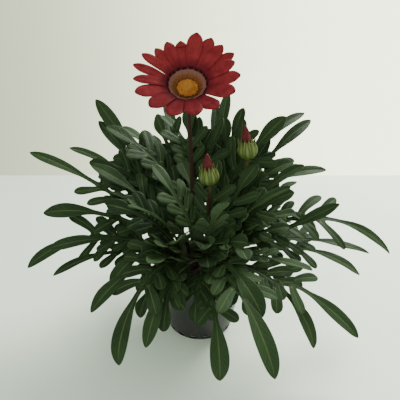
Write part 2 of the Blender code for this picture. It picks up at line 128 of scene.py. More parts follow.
# A shoot: foot on the soil, way and angle it leans, height of its stem, then its leaves.
# A leaf: share of the stem, azimuth, rise at the root, slope at the tip, length, width, lobe pairs, swerve.
SHOOTS = {
    "shoot_left": ((-21, -1), 178, 42, 46, (
        (0.95, 166, 46, 10, 190, 14, 3, -6),
        (0.80, 175, 40, -15, 155, 19, 2, -3),
        (0.60, 184, 28, -18, 142, 17, 3, 3),
        (0.45, 179, 36, -47, 192, 14, 3, 0),
        (0.30, 189, 33, -35, 148, 15, 3, 2),
        (0.90, 178, 76, 22, 124, 16, 3, 0),
    )),
    "shoot_left_back": ((-17, 12), 147, 28, 58, (
        (0.70, 153, 53, 0, 185, 13, 3, -4),
        (0.95, 147, 56, 40, 172, 17, 3, -4),
        (0.85, 143, 51, 28, 165, 15, 3, -4),
        (0.50, 152, 78, 3, 140, 17, 3, 5),
        (0.60, 152, 66, 45, 124, 15, 2, 4),
    )),
    "shoot_back_left": ((-8, 21), 110, 25, 56, (
        (0.80, 107, 75, 20, 175, 13, 3, 2),
        (0.95, 110, 65, 30, 140, 15, 3, 0),
        (0.60, 110, 50, -5, 150, 15, 3, 0),
        (0.40, 103, 40, -30, 150, 15, 2, 0),
        (0.30, 120, 30, -40, 145, 15, 3, 0),
    )),
    "shoot_back_right": ((8, 21), 74, 25, 56, (
        (0.90, 83, 78, 40, 150, 12, 3, 0),
        (0.95, 74, 70, 45, 160, 14, 3, 0),
        (0.60, 78, 50, -5, 150, 15, 3, 0),
        (0.40, 70, 40, -30, 150, 15, 2, 0),
        (0.30, 86, 30, -40, 145, 14, 3, 0),
    )),
    "shoot_right_back": ((18, 12), 38, 28, 58, (
        (0.90, 34, 58, 15, 175, 15, 3, 6),
        (0.50, 34, 75, -7, 150, 13, 3, -8),
        (0.95, 40, 76, 5, 178, 12, 2, -2),
        (0.70, 23, 60, -12, 160, 13, 3, -4),
        (0.30, 40, 35, -40, 148, 15, 2, 0),
        (0.60, 34, 70, 45, 130, 15, 3, 0),
    )),
    "shoot_right": ((22, -1), 355, 42, 46, (
        (0.90, 358, 43, -52, 202, 13, 3, 5),
        (0.70, 354, 24, -23, 160, 14, 3, 4),
        (0.50, 358, 24, -44, 172, 15, 3, 6),
        (0.60, 347, 28, 36, 135, 14, 2, 0),
        (0.85, 352, 78, 30, 124, 15, 3, 0),
        (0.95, 3, 74, -60, 118, 13, 3, -4),
    )),
    "shoot_right_front": ((16, -14), 325, 42, 38, (
        (0.70, 330, 14, -47, 165, 16, 3, 6),
        (0.55, 323, 30, -78, 150, 16, 3, 0),
        (0.95, 318, 28, 0, 104, 16, 3, 4),
        (0.85, 330, 80, 30, 122, 15, 3, 0),
    )),
    "shoot_front": ((4, -22), 280, 32, 32, (
        (0.40, 278, 32, -82, 134, 20, 3, 0),
        (0.90, 274, 55, 50, 76, 13, 2, 0),
        (0.60, 290, 48, -64, 168, 19, 3, 8),
        (0.85, 295, 55, -48, 118, 20, 2, 7),
        (0.95, 286, 82, 35, 118, 15, 3, 0),
        (0.70, 268, 76, 10, 100, 15, 3, 0),
    )),
    "shoot_left_front": ((-13, -17), 237, 38, 36, (
        (0.60, 240, 52, -90, 162, 17, 3, 0),
        (0.90, 212, 62, -65, 100, 15, 3, 0),
        (0.50, 254, 44, -60, 126, 15, 3, -4),
        (0.90, 252, 40, 20, 98, 15, 3, 0),
        (0.80, 228, 80, 25, 118, 15, 3, 0),
        (0.70, 224, 45, -45, 128, 15, 2, 0),
    )),
}
SHOOT_RADIUS = 3.0
# Small inner leaves of a shoot, in groups: how many, then the ranges of azimuth, rise, fall, length and width
# that they are drawn from. Steep groups close the crown, and falling ones hang over the rim.
INNER_LEAVES = {
    "shoot_left": ((3, (150, 205), (62, 78), (5, 45), (80, 115), (14, 19)),
                   (2, (80, 150), (70, 84), (5, 50), (95, 125), (14, 19))),
    "shoot_left_back": ((4, (95, 175), (62, 80), (0, 50), (95, 130), (14, 19)),),
    "shoot_back_left": ((6, (40, 185), (68, 85), (10, 62), (120, 165), (15, 20)),),
    "shoot_back_right": ((6, (-5, 140), (68, 85), (10, 62), (120, 165), (15, 20)),),
    "shoot_right_back": ((4, (5, 85), (62, 80), (0, 50), (95, 130), (14, 19)),),
    "shoot_right": ((3, (325, 385), (62, 78), (5, 45), (80, 115), (14, 19)),
                    (2, (30, 100), (70, 84), (5, 50), (95, 125), (14, 19))),
    "shoot_right_front": ((3, (290, 350), (50, 75), (-20, 30), (70, 95), (14, 19)),
                          (3, (-30, 120), (68, 84), (0, 50), (95, 125), (14, 19))),
    "shoot_front": ((4, (230, 330), (60, 80), (-25, 25), (60, 85), (15, 20)),
                    (4, (0, 180), (72, 85), (15, 65), (95, 140), (14, 19)),
                    (3, (255, 312), (30, 45), (-80, -62), (78, 96), (14, 18))),
    "shoot_left_front": ((3, (210, 280), (50, 75), (-20, 30), (70, 95), (14, 19)),
                         (3, (80, 210), (68, 84), (0, 50), (95, 125), (14, 19)),
                         (3, (236, 262), (28, 42), (-80, -65), (88, 104), (14, 18))),
}

# Flower stalks: half thickness and the points they pass, from the foot of the hole upwards
STALK_RADIUS = 2.0
HEAD_STALK = ((-3, 4, 46), (-3, 4, 74), (-5, 5, 110), (-8, 4, 160), (-9, -1, 210), (-10, -15, 246),
              (-10, -28, 262))
BUDS = {
    "bud_right": ((9, 4, 46), (9, 4, 74), (12, 4, 86), (27, 6, 118), (41, 8, 154), (46, 7, 180),
                  (50, 5, 203), (47, 3, 223), (43, 1, 238)),
    "bud_middle": ((4, -7, 46), (4, -7, 74), (7, -10, 110), (9, -13, 150), (10, -15, 172),
                   (10, -15, 182), (8, -16, 201), (5, -17, 214)),
}
BUD_RADIUS = 9.5
BUD_BRACTS = 9
BRACT_BLADE = 0.5
ROLL_SIDES = 60
ROLL_RINGS = 26
ROLL_WRAPS = 4
ROLL_SWIRL = 1.1
ROLL_STEP = 0.20

# Studio, in metres and watts
CAMERA_PLACE = (0, -0.404, 0.339)
CAMERA_PITCH = math.radians(65.8)
LENS = 37.35
SENSOR = 36
FLOOR_REACH = 3
TABLE_EDGE = 0.488
WORLD_STRENGTH = 0.74

look = random.Random(LOOK_SEED)


class Sheet:
    """Points, faces and point values of a mesh, filled in millimetres."""

    def __init__(self, *channels):
        self.points = []
        self.faces = []
        self.creases = set()
        self.channels = {channel: [] for channel in channels}

    def add(self, place, *values):
        self.points.append(Vector(place))
        for channel, value in zip(self.channels.values(), values):
            channel.append(value)
        return len(self.points) - 1

    def bridge(self, near, far, closed=False, flip=False):
        """Quads between two equal rows of points."""
        count = len(near) if closed else len(near) - 1
        for index in range(count):
            after = (index + 1) % len(near)
            face = (near[index], near[after], far[after], far[index])
            self.faces.append(face[::-1] if flip else face)

    def skin(self, rows, flip=False, capped=True):
        """Join closed rows of points one after the other, and close the two ends."""
        for near, far in zip(rows, rows[1:]):
            self.bridge(near, far, closed=True, flip=flip)
        if capped:
            self.faces.append(tuple(rows[-1][::-1] if flip else rows[-1]))
            self.faces.append(tuple(rows[0] if flip else rows[0][::-1]))


def add_object(name, data):
    item = bpy.data.objects.new(name, data)
    bpy.context.scene.collection.objects.link(item)
    return item


def new_piece(name, sheet, node, slot, *materials):
    """A mesh object from the sheet that stands for a CAD node."""
    mesh = bpy.data.meshes.new(name)
    mesh.from_pydata([point * MM for point in sheet.points], [], sheet.faces)
    for channel, values in sheet.channels.items():
        mesh.attributes.new(channel, "FLOAT", "POINT").data.foreach_set("value", values)
    if sheet.creases:
        creases = [CREASE * (tuple(sorted(edge.vertices)) in sheet.creases) for edge in mesh.edges]
        mesh.attributes.new("crease_edge", "FLOAT", "EDGE").data.foreach_set("value", creases)
    mesh.shade_smooth()
    for material in materials:
        mesh.materials.append(material)
    piece = add_object(name, mesh)
    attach(piece, "root")
    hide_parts(node)
    return piece


def refine(piece, levels, thickness=0):
    """Smooth a cage, then give it the thickness of a leaf or petal, in millimetres."""
    smooth = piece.modifiers.new("smooth", "SUBSURF")
    smooth.levels = levels
    smooth.render_levels = levels
    if thickness:
        blade = piece.modifiers.new("blade", "SOLIDIFY")
        blade.thickness = thickness * MM
        blade.offset = 0
        blade.material_offset = 1


class Nodes:
    """A node tree, with a short call for each kind of node that the finishes use."""

    def __init__(self, graph):
        self.graph = graph

    def link(self, source, socket):
        self.graph.links.new(source, socket)

    def add(self, kind, inputs=None, **settings):
        """A new node. An input is a socket to link or a plain value, and three numbers are a colour."""
        node = self.graph.nodes.new(kind)
        for name, value in settings.items():
            setattr(node, name, value)
        for name, value in (inputs or {}).items():
            if isinstance(value, bpy.types.NodeSocket):
                self.link(value, node.inputs[name])
            else:
                node.inputs[name].default_value = (*value, 1) if isinstance(value, tuple) else value
        return node

    def math(self, operation, first, second=0.0):
        return self.add("ShaderNodeMath", {0: first, 1: second}, operation=operation).outputs[0]

    def plus(self, first, second):
        return self.math("ADD", first, second)

    def minus(self, first, second):
        return self.math("SUBTRACT", first, second)

    def times(self, first, second):
        return self.math("MULTIPLY", first, second)

    def unsigned(self, value):
        return self.math("ABSOLUTE", value)

    def spread(self, value, low, high, to_low=0.0, to_high=1.0):
        """Smoothly map low..high to to_low..to_high."""
        inputs = {"Value": value, "From Min": low, "From Max": high, "To Min": to_low, "To Max": to_high}
        node = self.add("ShaderNodeMapRange", inputs, interpolation_type="SMOOTHSTEP", clamp=True)
        return node.outputs["Result"]

    def mixed(self, factor, first, second):
        """Two colours mixed by a factor."""
        return self.add("ShaderNodeMix", {0: factor, 6: first, 7: second}, data_type="RGBA").outputs[2]

    def channels(self, *names):
        """Point values of the mesh."""
        return [self.add("ShaderNodeAttribute", attribute_name=name).outputs["Fac"] for name in names]


def new_group(name, inputs, outputs):
    """An empty shader group with plain number inputs, its input sockets and its output sockets."""
    graph = bpy.data.node_groups.new(name, "ShaderNodeTree")
    for label, default in inputs.items():
        socket = graph.interface.new_socket(name=label, in_out="INPUT", socket_type="NodeSocketFloat")
        socket.default_value = default
    for label in outputs:
        graph.interface.new_socket(name=label, in_out="OUTPUT", socket_type="NodeSocketFloat")
    entry = graph.nodes.new("NodeGroupInput")
    result = graph.nodes.new("NodeGroupOutput")
    return Nodes(graph), entry.outputs, result.inputs


def grain_group():
    """Coarse blotches and fine grain over a surface, both from 0 to 1."""
    tree, given, out = new_group("surface_grain", {"Coarse Scale": 60, "Fine Scale": 900, "Detail": 4},
                                 ("Blotches", "Grain"))
    place = tree.add("ShaderNodeTexCoord").outputs["Object"]
    for label, scale in (("Blotches", "Coarse Scale"), ("Grain", "Fine Scale")):
        inputs = {"Vector": place, "Scale": given[scale], "Detail": given["Detail"], "Roughness": 0.6}
        speckle = tree.add("ShaderNodeTexNoise", inputs)
        tree.link(tree.spread(speckle.outputs["Fac"], 0.3, 0.7), out[label])
    return tree.graph


def nerve_group():
    """Lengthwise nerves across an organ whose Across value runs from -1 to 1."""
    tree, given, out = new_group("lengthwise_nerves", {"Across": 0, "Count": 3, "Width": 0.25}, ("Nerves",))
    wave = tree.math("FRACT", tree.times(tree.unsigned(given["Across"]), given["Count"]))
    middle = tree.unsigned(tree.minus(wave, 0.5))
    tree.link(tree.spread(middle, given["Width"], 0.0), out["Nerves"])
    return tree.graph


def herringbone_group():
    """Slanting side veins between a midrib at Across 0 and margins at -1 and 1."""
    tree, given, out = new_group("side_veins", {"Across": 0, "Along": 0, "Count": 22, "Slant": 2.2},
                                 ("Veins",))
    slant = tree.times(tree.unsigned(given["Across"]), given["Slant"])
    wave = tree.minus(tree.times(given["Along"], given["Count"]), slant)
    middle = tree.unsigned(tree.minus(tree.math("FRACT", wave), 0.5))
    lines = tree.spread(middle, 0.16, 0.0)
    fade = tree.spread(tree.unsigned(given["Across"]), 0.95, 0.5)
    tree.link(tree.times(lines, fade), out["Veins"])
    return tree.graph


GRAIN = grain_group()
NERVES = nerve_group()
HERRINGBONE = herringbone_group()


class Finish(Nodes):
    """A material: plain values on its Principled shader, and nodes for what changes over the surface."""

    def __init__(self, name, gloss, roughness=0.5, plain=None):
        self.material = bpy.data.materials.new(name)
        self.material.use_nodes = True
        super().__init__(self.material.node_tree)
        self.shader = self.graph.nodes["Principled BSDF"]
        settings = {"Specular IOR Level": gloss, "Roughness": roughness, **(plain or {})}
        for socket, value in settings.items():
            self.shader.inputs[socket].default_value = value

    def use(self, group, inputs):
        return self.add("ShaderNodeGroup", inputs, node_tree=group).outputs

    def grain(self, coarse, fine, detail=4):
        """Coarse blotches and fine grain."""
        return self.use(GRAIN, {"Coarse Scale": coarse, "Fine Scale": fine, "Detail": detail})

    def nerves(self, across, count, width):
        return self.use(NERVES, {"Across": across, "Count": count, "Width": width})["Nerves"]

    def dress(self, colour, roughness=None, height=None, depth=0.2, strength=0.6):
        """The material with its colour, roughness and a bump height, whose depth is in millimetres."""
        self.link(colour, self.shader.inputs["Base Color"])
        if roughness is not None:
            self.link(roughness, self.shader.inputs["Roughness"])
        if height is not None:
            inputs = {"Height": height, "Strength": strength, "Distance": depth * MM}
            bump = self.add("ShaderNodeBump", inputs)
            self.link(bump.outputs["Normal"], self.shader.inputs["Normal"])
        return self.material


def leaf_finish(name, deep, bright, rib, veins_share, roughness, gloss):
    tree = Finish(name, gloss, roughness, {
        "Subsurface Weight": 0.2, "Subsurface Radius": (0.5, 1.0, 0.25), "Subsurface Scale": BLADE * MM,
    })
    across, lobe_across, along, tint = tree.channels("across", "lobe_across", "along", "tint")
    blotches, grain = tree.grain(45, 1400)
    nearest = tree.math("MINIMUM", tree.unsigned(across), tree.unsigned(lobe_across))
    side = tree.use(HERRINGBONE, {"Across": nearest, "Along": along})["Veins"]
    nerves = tree.nerves(nearest, 2, 0.14)
    veins = tree.math("MAXIMUM", tree.times(nerves, 0.5), side)
    ground = tree.mixed(blotches, deep, bright)
    aged = tree.mixed(tree.spread(tint, 0.15, 0.95, 0.0, 0.75), ground, tuple(1.3 * part for part in bright))
    cool = tree.mixed(tree.spread(tint, 0.35, 0.0, 0.0, 0.55), aged, (deep[0], deep[1], 1.5 * deep[2]))
    veined = tree.mixed(tree.times(veins, veins_share), cool, rib)
    middle = tree.spread(nearest, 0.15, 0.02, 0.0, 0.85)
    ribbed = tree.mixed(middle, veined, rib)
    margin = tree.spread(nearest, 0.9, 1.0, 0.0, 0.4)
    edged = tree.mixed(margin, ribbed, rib)
    dull = tree.spread(grain, 0.0, 1.0, roughness - 0.06, roughness + 0.12)
    height = tree.minus(tree.times(grain, 0.3),
                  tree.plus(veins, tree.times(middle, 1.4)))
    return tree.dress(edged, dull, height, 0.35, 0.7)


def rib_finish():
    tree = Finish("leaf_rib", 0.22)
    blotches, grain = tree.grain(70, 1600)
    along = tree.channels("along")[0]
    low = tree.mixed(blotches, (0.042, 0.062, 0.017), (0.075, 0.105, 0.030))
    colour = tree.mixed(tree.spread(along, 0.0, 0.35, 0.5, 0.0), low, (0.045, 0.028, 0.014))
    dull = tree.spread(grain, 0.0, 1.0, 0.42, 0.6)
    return tree.dress(colour, dull, grain, 0.08)


def stalk_finish(name, red, green, turn_low, turn_high):
    """Ribbed stalk that goes from red to green along its height share."""
    tree = Finish(name, 0.2)
    blotches, grain = tree.grain(90, 1500)
    across, along = tree.channels("across", "along")
    ribs = tree.nerves(across, 5, 0.3)
    fade = tree.plus(along, tree.times(blotches, 0.15))
    body = tree.mixed(tree.spread(fade, turn_low, turn_high), red, green)
    shaded = tree.mixed(tree.times(ribs, 0.3), body, (0.07, 0.048, 0.026))
    height = tree.plus(ribs, tree.times(grain, 0.3))
    return tree.dress(shaded, tree.spread(grain, 0, 1, 0.45, 0.65), height, 0.12)


def petal_finish(name, bright, deep, inside):
    """Red ray petal with a maroon foot, a dark spot and a mauve-brown funnel, by distance out."""
    tree = Finish(name, 0.04)
    out, across, tint, tip = tree.channels("out", "across", "tint", "tip")
    blotches, grain = tree.grain(130, 2200)
    nerves = tree.nerves(across, 3.5, 0.35)
    streaks = tree.nerves(across, 2.5, 0.3)
    blaze = tree.mixed(blotches, bright, deep)
    # Painted light and shade: a high tint lights the back petals to a warmer red, and a low tint shades the
    # front ones towards deep red
    tone_and_painted_light = tree.mixed(tree.spread(tint, 0.3, 1.0, 0.0, 0.5), blaze, (0.270, 0.0290, 0.0270))
    tone_and_painted_shade = tree.mixed(tree.spread(tint, 0.5, 0.1, 0.0, 0.75), tone_and_painted_light, deep)
    lined = tree.mixed(tree.times(nerves, 0.35), tone_and_painted_shade, deep)
    foot = tree.mixed(tree.spread(out, 25, 16.5, 0.0, 0.85), lined, (0.075, 0.0070, 0.0120))
    colour = foot
    if inside:
        low = tree.mixed(streaks, (0.085, 0.033, 0.018), (0.36, 0.130, 0.030))
        mauve = tree.mixed(streaks, (0.175, 0.080, 0.060), (0.220, 0.100, 0.066))
        funnel = tree.mixed(tree.spread(out, 11.8, 14.0), low, mauve)
        colour = tree.mixed(tree.spread(out, 16.2, 15.2), foot, funnel)
        beyond = tree.spread(out, 15.2, 15.9)
        before = tree.spread(out, 18.2, 16.6)
        narrow = tree.spread(tree.unsigned(across), 0.9, 0.45)
        spot = tree.times(tree.times(beyond, before), narrow)
        colour = tree.mixed(tree.times(spot, 0.9), colour, (0.012, 0.003, 0.006))
    tipped = tree.mixed(tree.spread(tip, 0.95, 1.0, 0.0, 0.6), colour, (0.045, 0.012, 0.006))
    height = tree.plus(nerves, tree.times(grain, 0.35))
    return tree.dress(tipped, tree.spread(grain, 0, 1, 0.5, 0.7), height, 0.12, 0.45)


def floret_finish():
    tree = Finish("disc_floret", 0.12, 0.7)
    out, rise = tree.channels("out", "rise")
    blotches, grain = tree.grain(300, 3000)
    body = tree.mixed(blotches, (0.38, 0.132, 0.022), (0.53, 0.225, 0.038))
    middle = tree.mixed(tree.spread(out, 6.5, 2.0, 0.0, 0.7), body, (0.60, 0.285, 0.055))
    rim = tree.mixed(tree.spread(out, 7.2, 9.0, 0.0, 0.85), middle, (0.190, 0.062, 0.016))
    # Painted shade: darker towards each floret's foot and over the dome between the florets
    low = tree.mixed(tree.spread(rise, 0.55, 0.0), rim, (0.07, 0.018, 0.005))
    return tree.dress(low, None, grain, 0.08)


def bract_finish(name, green, stripe, share):
    """Yellow-green bract with pale ribs that run to its tip."""
    tree = Finish(name, 0.25)
    across, along = tree.channels("across", "along")
    blotches, grain = tree.grain(160, 2000)
    body = tree.mixed(blotches, green, tuple(1.35 * part for part in green))
    nerves = tree.nerves(across, 1.6, 0.32)
    middle = tree.spread(tree.unsigned(across), 0.34, 0.05)
    pale = tree.math("MAXIMUM", middle, tree.times(nerves, 0.6))
    rising = tree.spread(along, 0.1, 0.6, 0.35, 1.0)
    striped = tree.mixed(tree.times(tree.times(pale, rising), share), body, stripe)
    tipped = tree.mixed(tree.spread(along, 0.86, 1.0, 0.0, 0.8), striped, (0.08, 0.025, 0.012))
    height = tree.plus(pale, tree.times(grain, 0.3))
    return tree.dress(tipped, tree.spread(grain, 0, 1, 0.4, 0.58), height, 0.2)


def rolled_finish():
    tree = Finish("rolled_petals", 0.2)
    across, along = tree.channels("across", "along")
    blotches, grain = tree.grain(200, 2200)
    nerves = tree.nerves(across, 9, 0.35)
    body = tree.mixed(blotches, (0.075, 0.008, 0.011), (0.135, 0.013, 0.017))
    lined = tree.mixed(tree.times(nerves, 0.5), body, (0.14, 0.03, 0.02))
    tipped = tree.mixed(tree.spread(along, 0.7, 1.0, 0.0, 0.5), lined, (0.18, 0.012, 0.012))
    return tree.dress(tipped, tree.spread(grain, 0, 1, 0.42, 0.6), nerves, 0.15)


def pot_finish():
    """Thin dark moulded plastic with fine drawing lines, scuffs and a little dried peat near the foot."""
    tree = Finish("pot_plastic", 0.4)
    blotches = tree.grain(30, 700, 6)[0]
    crumbs, grit = tree.grain(260, 2600)
    height = tree.add("ShaderNodeSeparateXYZ",
                      {0: tree.add("ShaderNodeTexCoord").outputs["Object"]}).outputs["Z"]
    ring = tree.math("SINE", tree.times(height, 5200))
    dust = tree.times(tree.spread(crumbs, 0.45, 0.95),
                tree.spread(height, 0.035, 0.002, 0.25, 0.8))
    base = tree.mixed(blotches, (0.013, 0.012, 0.014), (0.022, 0.021, 0.023))
    dusty = tree.mixed(dust, base, (0.055, 0.043, 0.034))
    dull = tree.plus(tree.spread(blotches, 0, 1, 0.30, 0.42), tree.times(dust, 0.3))
    relief = tree.plus(tree.times(ring, 0.25), grit)
    return tree.dress(dusty, dull, relief, 0.06, 0.5)


def peat_finish():
    tree = Finish("peat", 0.2, 0.95)
    blotches, grain = tree.grain(220, 1500, 8)
    tint = tree.channels("tint")[0]
    body = tree.mixed(blotches, (0.008, 0.005, 0.004), (0.026, 0.016, 0.011))
    flecks = tree.mixed(tree.spread(grain, 0.7, 1.0, 0.0, 0.5), body, (0.055, 0.036, 0.022))
    crumbs = tree.mixed(tree.spread(tint, 0.5, 1.0, 0.0, 0.7), flecks, (0.07, 0.044, 0.027))
    return tree.dress(crumbs, None, grain, 0.7, 0.9)


LEAF_TOP = leaf_finish("leaf_blade", (0.0092, 0.0225, 0.0074), (0.0200, 0.0410, 0.0145), (0.070, 0.106, 0.034),
                       0.22, 0.52, 0.09)
LEAF_UNDER = leaf_finish("leaf_underside", (0.030, 0.055, 0.026), (0.044, 0.075, 0.036), (0.09, 0.13, 0.055),
                         0.3, 0.65, 0.15)
LEAF_RIB = rib_finish()
STALK = stalk_finish("flower_stalk", (0.030, 0.010, 0.009), (0.045, 0.040, 0.014), 0.85, 1.1)
BUD_STALK = stalk_finish("bud_stalk", (0.036, 0.014, 0.010), (0.055, 0.060, 0.018), 0.75, 1.05)
PETAL_FACE = petal_finish("ray_petal", (0.225, 0.0245, 0.0310), (0.128, 0.0105, 0.0135), True)
PETAL_BACK = petal_finish("ray_petal_back", (0.16, 0.014, 0.018), (0.09, 0.008, 0.016), False)
FLORET = floret_finish()
BRACT = bract_finish("bud_bract", (0.046, 0.082, 0.014), (0.24, 0.265, 0.075), 0.8)
BRACT_INSIDE = bract_finish("bract_inside", (0.06, 0.09, 0.03), (0.18, 0.20, 0.08), 0.5)
ROLLED = rolled_finish()
POT = pot_finish()
PEAT = peat_finish()


def direction(azimuth, slope):
    level = math.cos(math.radians(slope))
    return Vector((level * math.cos(math.radians(azimuth)),
                   level * math.sin(math.radians(azimuth)),
                   math.sin(math.radians(slope))))


def bent_run(start, azimuth, rise, fall, swerve, length, steps):
    """Points and headings of a stem or midrib whose slope goes evenly from rise to fall."""
    points = [Vector(start)]
    headings = []
    for step in range(steps):
        share = (step + 0.5) / steps
        way = (azimuth + swerve * share, rise + (fall - rise) * share)
        headings.append(way)
        points.append(points[-1] + direction(*way) * length / steps)
    headings.append(headings[-1])
    return points, headings


def on_run(run, share):
    place = share * (len(run) - 1)
    index = min(int(place), len(run) - 2)
    return run[index].lerp(run[index + 1], place - index)


class Midrib:
    """Turns a place on the flat blade (share of the length, millimetres to the right) into space."""

    def __init__(self, start, azimuth, rise, fall, swerve, length, tilt, twist):
        self.length = length
        self.tilt = tilt
        self.twist = twist
        self.points, self.headings = bent_run(start, azimuth, rise, fall, swerve, length, MIDRIB_STEPS)

    def frame(self, share):
        """Centre, way to the right and way up at a share of the length."""
        share = min(max(share, 0), 1)
        place = share * MIDRIB_STEPS
        index = min(int(place), MIDRIB_STEPS - 1)
        azimuth, slope = self.headings[index]
        later = self.headings[index + 1]
        part = place - index
        azimuth += (later[0] - azimuth) * part
        slope += (later[1] - slope) * part
        ahead = direction(azimuth, slope)
        flat_right = direction(azimuth - 90, 0)
        roll = -FACING_FRONT * math.cos(math.radians(self.headings[0][0])) + self.tilt + self.twist * share
        right = flat_right * math.cos(roll) + flat_right.cross(ahead) * math.sin(roll)
        return on_run(self.points, share), right, right.cross(ahead)

    def place(self, share, across, lift=0.0):
        centre, right, above = self.frame(share)
        arch = abs(across) * math.sin(FOLD) - across * across * ARCH
        return centre + right * across * math.cos(FOLD) + above * (arch + lift)


def terminal_half_width(along, width):
    return max(WING_HALF_WIDTH * (1 - along), width / 2 * math.sin(math.pi * along ** 1.4) ** 0.6)


def leaf_rows(width, pairs, first_lobe, end_lobe):
    """Stations along the midrib with their half widths, and the row where each pair of lobes starts."""
    rows = [(station, wide * PETIOLE_HALF_WIDTH) for station, wide in PETIOLE_ROWS]
    starts = []
    pitch = (end_lobe - first_lobe) / pairs
    for pair in range(pairs):
        starts.append(len(rows))
        station = first_lobe + pair * pitch
        for part in (0, 0.25, 0.5):
            rows.append((station + part * pitch, WING_HALF_WIDTH))
    rows.append((end_lobe, WING_HALF_WIDTH))
    for along in TERMINAL_ROWS:
        rows.append((end_lobe + (1 - end_lobe) * along, terminal_half_width(along, width)))
    return rows, starts


def add_tube(sheet, path, radii, sides, aged=(0, 1)):
    """A closed round tube along a path of points, with one radius for each point."""
    rows = []
    normal = None
    for index, (place, radius) in enumerate(zip(path, radii)):
        ahead = (path[min(index + 1, len(path) - 1)] - path[max(index - 1, 0)]).normalized()
        guess = normal if normal is not None else ahead.orthogonal()
        normal = (guess - ahead * guess.dot(ahead)).normalized()
        other = ahead.cross(normal)
        along = aged[0] + (aged[1] - aged[0]) * index / (len(path) - 1)
        row = []
        for turn in range(sides):
            angle = 2 * math.pi * turn / sides
            spot = place + (normal * math.cos(angle) + other * math.sin(angle)) * radius
            row.append(sheet.add(spot, abs(2 * turn / sides - 1), along))
        rows.append(row)
    sheet.skin(rows)


def curved(points, steps):
    """A smooth path through the points, with steps places between each two."""
    points = [Vector(point) for point in points]
    padded = [2 * points[0] - points[1], *points, 2 * points[-1] - points[-2]]
    path = []
    for index in range(1, len(padded) - 2):
        before, start, end, after = padded[index - 1:index + 3]
        for step in range(steps):
            part = step / steps
            path.append(0.5 * (2 * start + (end - before) * part
                               + (2 * before - 5 * start + 4 * end - after) * part ** 2
                               + (3 * start - before - 3 * end + after) * part ** 3))
    path.append(points[-1])
    return path


def add_lobe(sheet, ribs, rib, side, base, station, reach, width, tint):
    """A rounded side lobe on the wing's edge, from its three base points outwards, and its rib."""
    ahead = math.cos(LOBE_FORWARD)
    out = math.sin(LOBE_FORWARD)
    bend = look.uniform(*LOBE_BEND) * reach
    hook = look.uniform(*LOBE_HOOK) * reach
    twist = look.uniform(*LOBE_TWIST)
    near = base
    spine = []
    for along, half in LOBE_ROWS:
        row = []
        for off in (-1, 0, 1):
            offset = off * half * width + hook * along ** 2
            share = station + (along * reach * ahead + offset * out) / rib.length
            across = WING_HALF_WIDTH + along * reach * out - offset * ahead
            lift = bend * along ** 2 + 0.16 * abs(off) * half * width + twist * off * half * width * along
            place = rib.place(share, side * across, lift)
            row.append(sheet.add(place, 1, off, share, tint))
            if off == 0:
                spine.append(rib.place(share, side * across, lift - 0.22))
        sheet.bridge(near, row, flip=side > 0)
        sheet.creases.add(tuple(sorted((near[1], row[1]))))
        near = row
    root = [rib.place(station - 0.02, 0, -0.3), rib.place(station + 0.01, side * 0.7 * WING_HALF_WIDTH, -0.25)]
    path = curved(root + spine[:-1], 2)
    radii = [0.5 - 0.36 * index / (len(path) - 1) for index in range(len(path))]
    add_tube(ribs, path, radii, 6, (0.5, 1))


def add_leaf(sheet, ribs, start, row, draw, tilt, lobes):
    """One lobed leaf with its midrib; tilt is the most that it may turn about its midrib at the root."""
    first_lobe, end_lobe, lobe_reach = lobes
    azimuth, rise, fall, length, width, pairs, swerve = row
    rib = Midrib(start, azimuth, rise, fall, swerve, length,
                 look.uniform(-tilt, tilt), look.uniform(-TWIST, TWIST))
    rows, starts = leaf_rows(width, pairs, first_lobe, end_lobe)
    tint = look.random()
    phase = look.uniform(0, 2 * math.pi)
    waves = look.uniform(*WAVES)
    strip = []
    for order, (station, half) in enumerate(rows):
        line = []
        for column in COLUMNS:
            ripple = RIPPLE * math.sin(2 * math.pi * waves * station + phase + column) * column * column
            ripple *= min(1, half / 6)
            joins = abs(column) == 1 and any(order == first + 1 for first in starts)
            line.append(sheet.add(rib.place(station, column * half, ripple), column,
                                  0 if joins else 1, station, tint))
        strip.append(line)
    tip = [sheet.add(rib.place(1, column * 0.5), column, 1, 1, tint) for column in COLUMNS]
    strip.append(tip)
    for near, far in zip(strip, strip[1:]):
        sheet.bridge(near, far)
        sheet.creases.add(tuple(sorted((near[2], far[2]))))
    for order, first in enumerate(starts):
        for side in (-1, 1):
            reach = length * (lobe_reach + 0.05 * order / pairs) * draw.uniform(0.85, 1.2)
            lobe_width = min(max(0.62 * width, 7), 10) * draw.uniform(0.9, 1.1)
            edge = 0 if side < 0 else -1
            base = [strip[first + step][edge] for step in range(3)]
            add_lobe(sheet, ribs, rib, side, base, rows[first][0] + 0.01, reach, lobe_width, tint)
    path = []
    radii = []
    for step in range(MIDRIB_RINGS + 1):
        part = step / MIDRIB_RINGS
        path.append(rib.place(0.985 * part, 0, -0.25 - 0.2 * (1 - part)))
        radii.append(0.28 + 1.15 * (1 - part) ** 1.5)
    add_tube(ribs, path, radii, 8)


